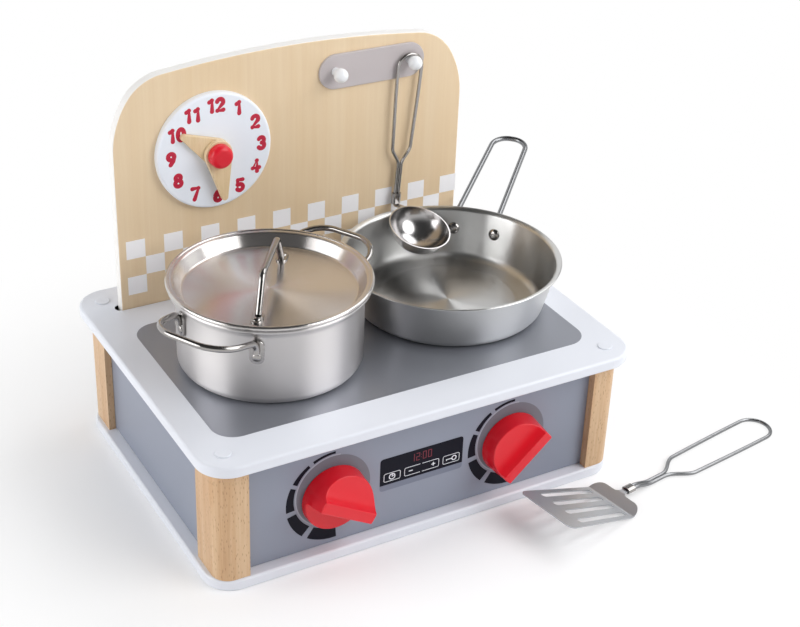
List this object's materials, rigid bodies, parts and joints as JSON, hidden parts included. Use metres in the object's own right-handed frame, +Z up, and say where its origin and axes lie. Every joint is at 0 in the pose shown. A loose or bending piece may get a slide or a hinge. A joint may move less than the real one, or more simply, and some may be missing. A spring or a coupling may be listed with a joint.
{
  "type": "toy oven",
  "caption": "Wooden table-top toy oven with turning knobs, a lift-out backboard with clock and peg rack, and a lidded pot, pan, ladle and slotted spatula.",
  "frame": {"origin": "centre of the underside of the cooker's base plate", "axes": "+X to the right seen from the front, +Y to the back, +Z up; the knobs face -Y"},
  "size_m": [0.495, 0.3418, 0.302],
  "materials": {
    "white_painted_ply": "satin white paint on plywood",
    "white_plastic": "glossy white",
    "beech": "clear satin lacquer on beech",
    "birch_ply": "clear satin lacquer on birch plywood",
    "panel_paint": "satin blue-grey paint",
    "red_plastic": "glossy red",
    "grey_painted_metal": "satin grey",
    "spindle_steel": "plated steel",
    "brushed_steel": "brushed stainless sheet",
    "steel_wire": "polished stainless wire",
    "polished_steel": "mirror-polished stainless"
  },
  "bodies": {
    "cooker": {"base_plate": "white_painted_ply", "top_plate": "white_painted_ply", "corner_caps": "white_plastic", "post_front_left": "beech", "post_front_right": "beech", "post_rear_left": "beech", "post_rear_right": "beech", "front_panel": "panel_paint", "rear_panel": "panel_paint", "side_panel_left": "panel_paint", "side_panel_right": "panel_paint", "board_rail": "beech"},
    "backboard": {"backboard": "birch_ply", "clock_face": "white_plastic", "clock_cap": "red_plastic", "clock_nut": "spindle_steel", "hook_plate": "grey_painted_metal", "hook_pegs": "white_plastic"},
    "hour_hand": {"hour_hand": "birch_ply"},
    "minute_hand": {"minute_hand": "birch_ply"},
    "knob_left": {"knob_left": "red_plastic", "knob_left_spindle": "spindle_steel", "knob_left_retainer": "spindle_steel"},
    "knob_right": {"knob_right": "red_plastic", "knob_right_spindle": "spindle_steel", "knob_right_retainer": "spindle_steel"},
    "pot": {"pot_shell": "brushed_steel", "pot_handle_front": "steel_wire", "pot_handle_rear": "steel_wire", "pot_rivets": "steel_wire"},
    "lid": {"lid_shell": "brushed_steel", "lid_handle": "steel_wire", "lid_rivets": "steel_wire"},
    "pan": {"pan_shell": "brushed_steel", "pan_handle": "steel_wire", "pan_studs": "steel_wire"},
    "ladle": {"ladle_bowl": "polished_steel", "ladle_handle": "steel_wire", "ladle_ferrule": "brushed_steel"},
    "spatula": {"spatula_blade": "brushed_steel", "spatula_handle": "steel_wire", "spatula_ferrule": "brushed_steel"}
  },
  "joints": [
    {"name": "knob_left_turn", "type": "hinge", "parent": "cooker", "child": "knob_left", "pos_m": [-0.0742, -0.117, 0.0507], "axis": [0, -1, 0], "continuous": true},
    {"name": "knob_right_turn", "type": "hinge", "parent": "cooker", "child": "knob_right", "pos_m": [0.0742, -0.117, 0.0507], "axis": [0, -1, 0], "continuous": true},
    {"name": "hour_hand_turn", "type": "hinge", "parent": "backboard", "child": "hour_hand", "pos_m": [-0.0695, 0.0868, 0.23], "axis": [0, 1, 0], "continuous": true},
    {"name": "minute_hand_turn", "type": "hinge", "parent": "backboard", "child": "minute_hand", "pos_m": [-0.0695, 0.0831, 0.23], "axis": [0, 1, 0], "continuous": true},
    {"name": "backboard_lift", "type": "slide", "parent": "cooker", "child": "backboard", "axis": [0, 0, 1], "range_m": [0, 0.24]},
    {"name": "pot_lift", "type": "slide", "parent": "cooker", "child": "pot", "axis": [0, 0, 1], "range_m": [0, 0.12]},
    {"name": "lid_lift", "type": "slide", "parent": "pot", "child": "lid", "axis": [0, 0, 1], "range_m": [0, 0.1]},
    {"name": "pan_lift", "type": "slide", "parent": "cooker", "child": "pan", "axis": [0.8196, -0.4198, 0.3898], "range_m": [0, 0.1]},
    {"name": "ladle_lift", "type": "slide", "parent": "backboard", "child": "ladle", "axis": [0, -0.6, 0.8], "range_m": [0, 0.25]},
    {"name": "spatula_lift", "type": "slide", "parent": "cooker", "child": "spatula", "axis": [0, 0, 1], "range_m": [0, 0.1]}
  ],
  "couplings": [
    {"joint": "ladle_lift", "follows": "pan_lift", "ratio": 2.5}
  ]
}
